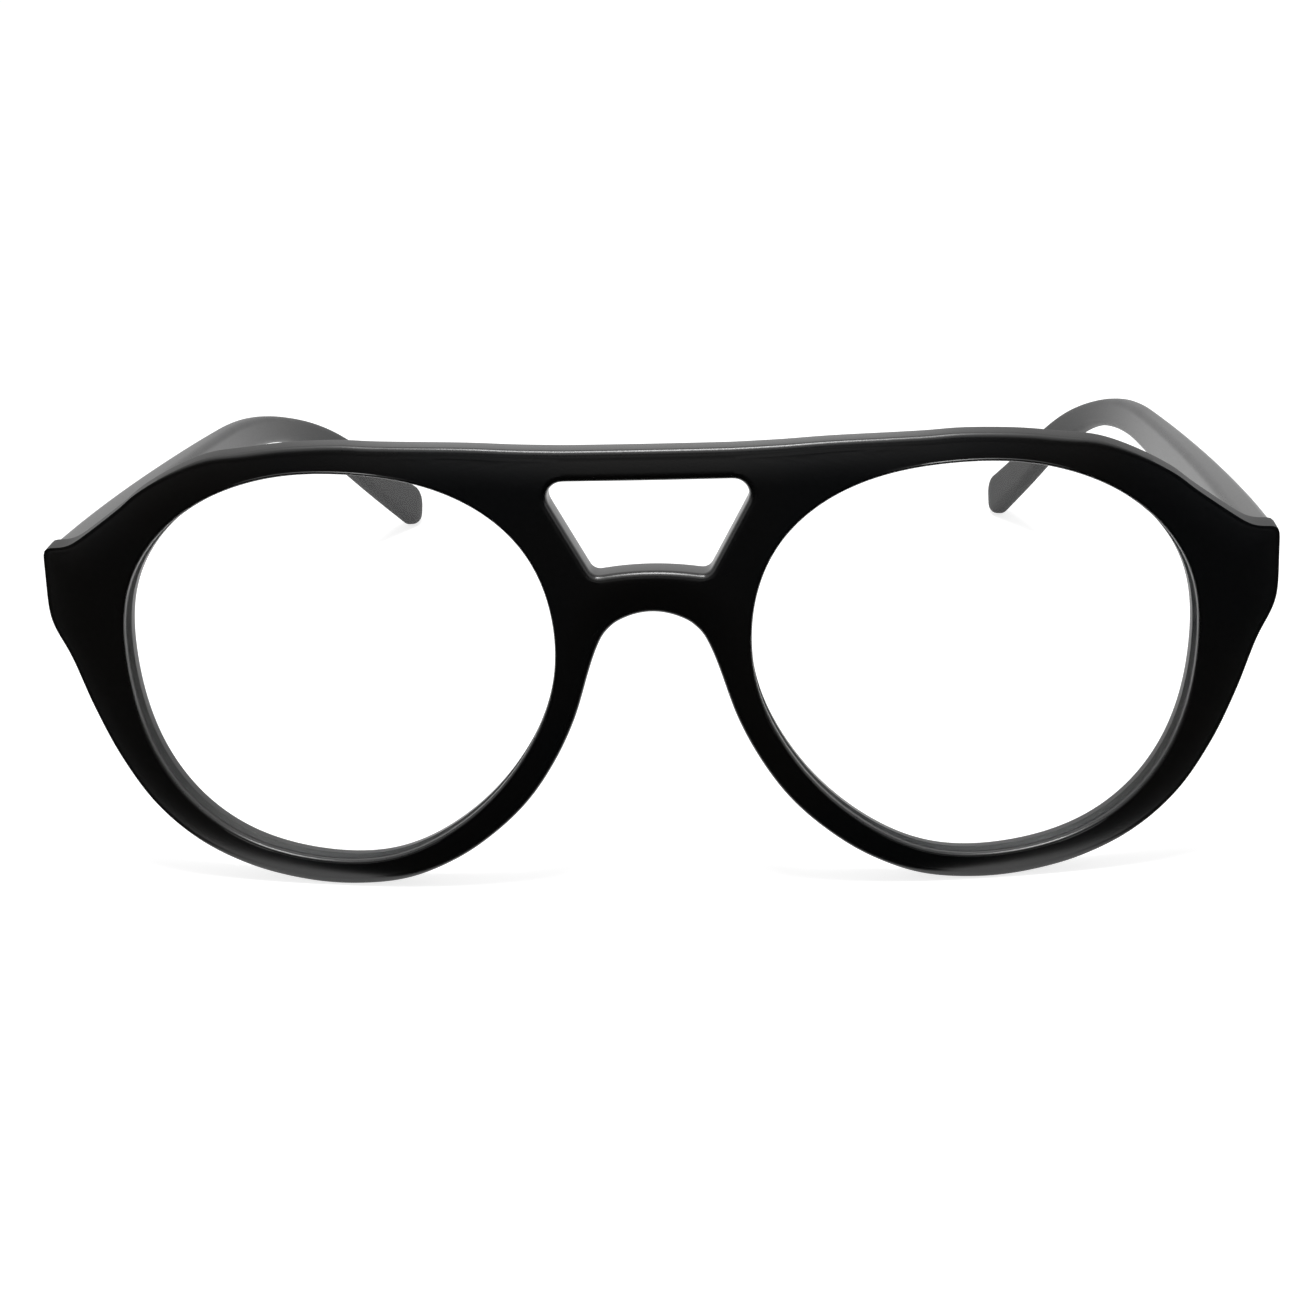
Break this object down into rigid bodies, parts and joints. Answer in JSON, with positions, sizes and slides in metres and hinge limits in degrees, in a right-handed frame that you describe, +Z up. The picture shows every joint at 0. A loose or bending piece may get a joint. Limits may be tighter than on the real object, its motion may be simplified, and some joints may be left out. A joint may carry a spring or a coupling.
{
  "type": "aviator eyeglasses",
  "caption": "Plastic aviator eyeglasses with a brow bar over a trapezoid keyhole, a lower bridge, drop-shaped clear lenses and folding temples with bent tips.",
  "frame": {"origin": "centre of the bounding box in width and length, at the height of the surface the open glasses stand on", "axes": "+X towards the wearer's left, -Y the way the lenses face, +Y back along the temples, +Z up"},
  "size_m": [0.1446, 0.1598, 0.0542],
  "materials": {
    "frame_plastic": "satin black",
    "lens_clear": "polished clear",
    "pad_plastic": "satin black",
    "hinge_steel": "satin"
  },
  "bodies": {
    "front": {"front_frame": "frame_plastic", "lens_left": "lens_clear", "lens_right": "lens_clear", "nose_pad_left": "pad_plastic", "nose_pad_right": "pad_plastic", "front_hinge_leaf_left": "hinge_steel", "front_hinge_leaf_right": "hinge_steel", "hinge_screw_left": "hinge_steel", "hinge_screw_right": "hinge_steel"},
    "temple_left": {"temple_left": "frame_plastic", "temple_hinge_leaf_left": "hinge_steel", "core_wire_left": "hinge_steel"},
    "temple_right": {"temple_right": "frame_plastic", "temple_hinge_leaf_right": "hinge_steel", "core_wire_right": "hinge_steel"}
  },
  "joints": [
    {"name": "temple_left_fold", "type": "hinge", "parent": "front", "child": "temple_left", "pos_m": [0.06624, -0.06681, 0.03707], "axis": [0, 0, 1], "range_deg": [0, 85]},
    {"name": "temple_right_fold", "type": "hinge", "parent": "front", "child": "temple_right", "pos_m": [-0.06624, -0.06681, 0.03707], "axis": [0, 0, -1], "range_deg": [0, 80]}
  ]
}
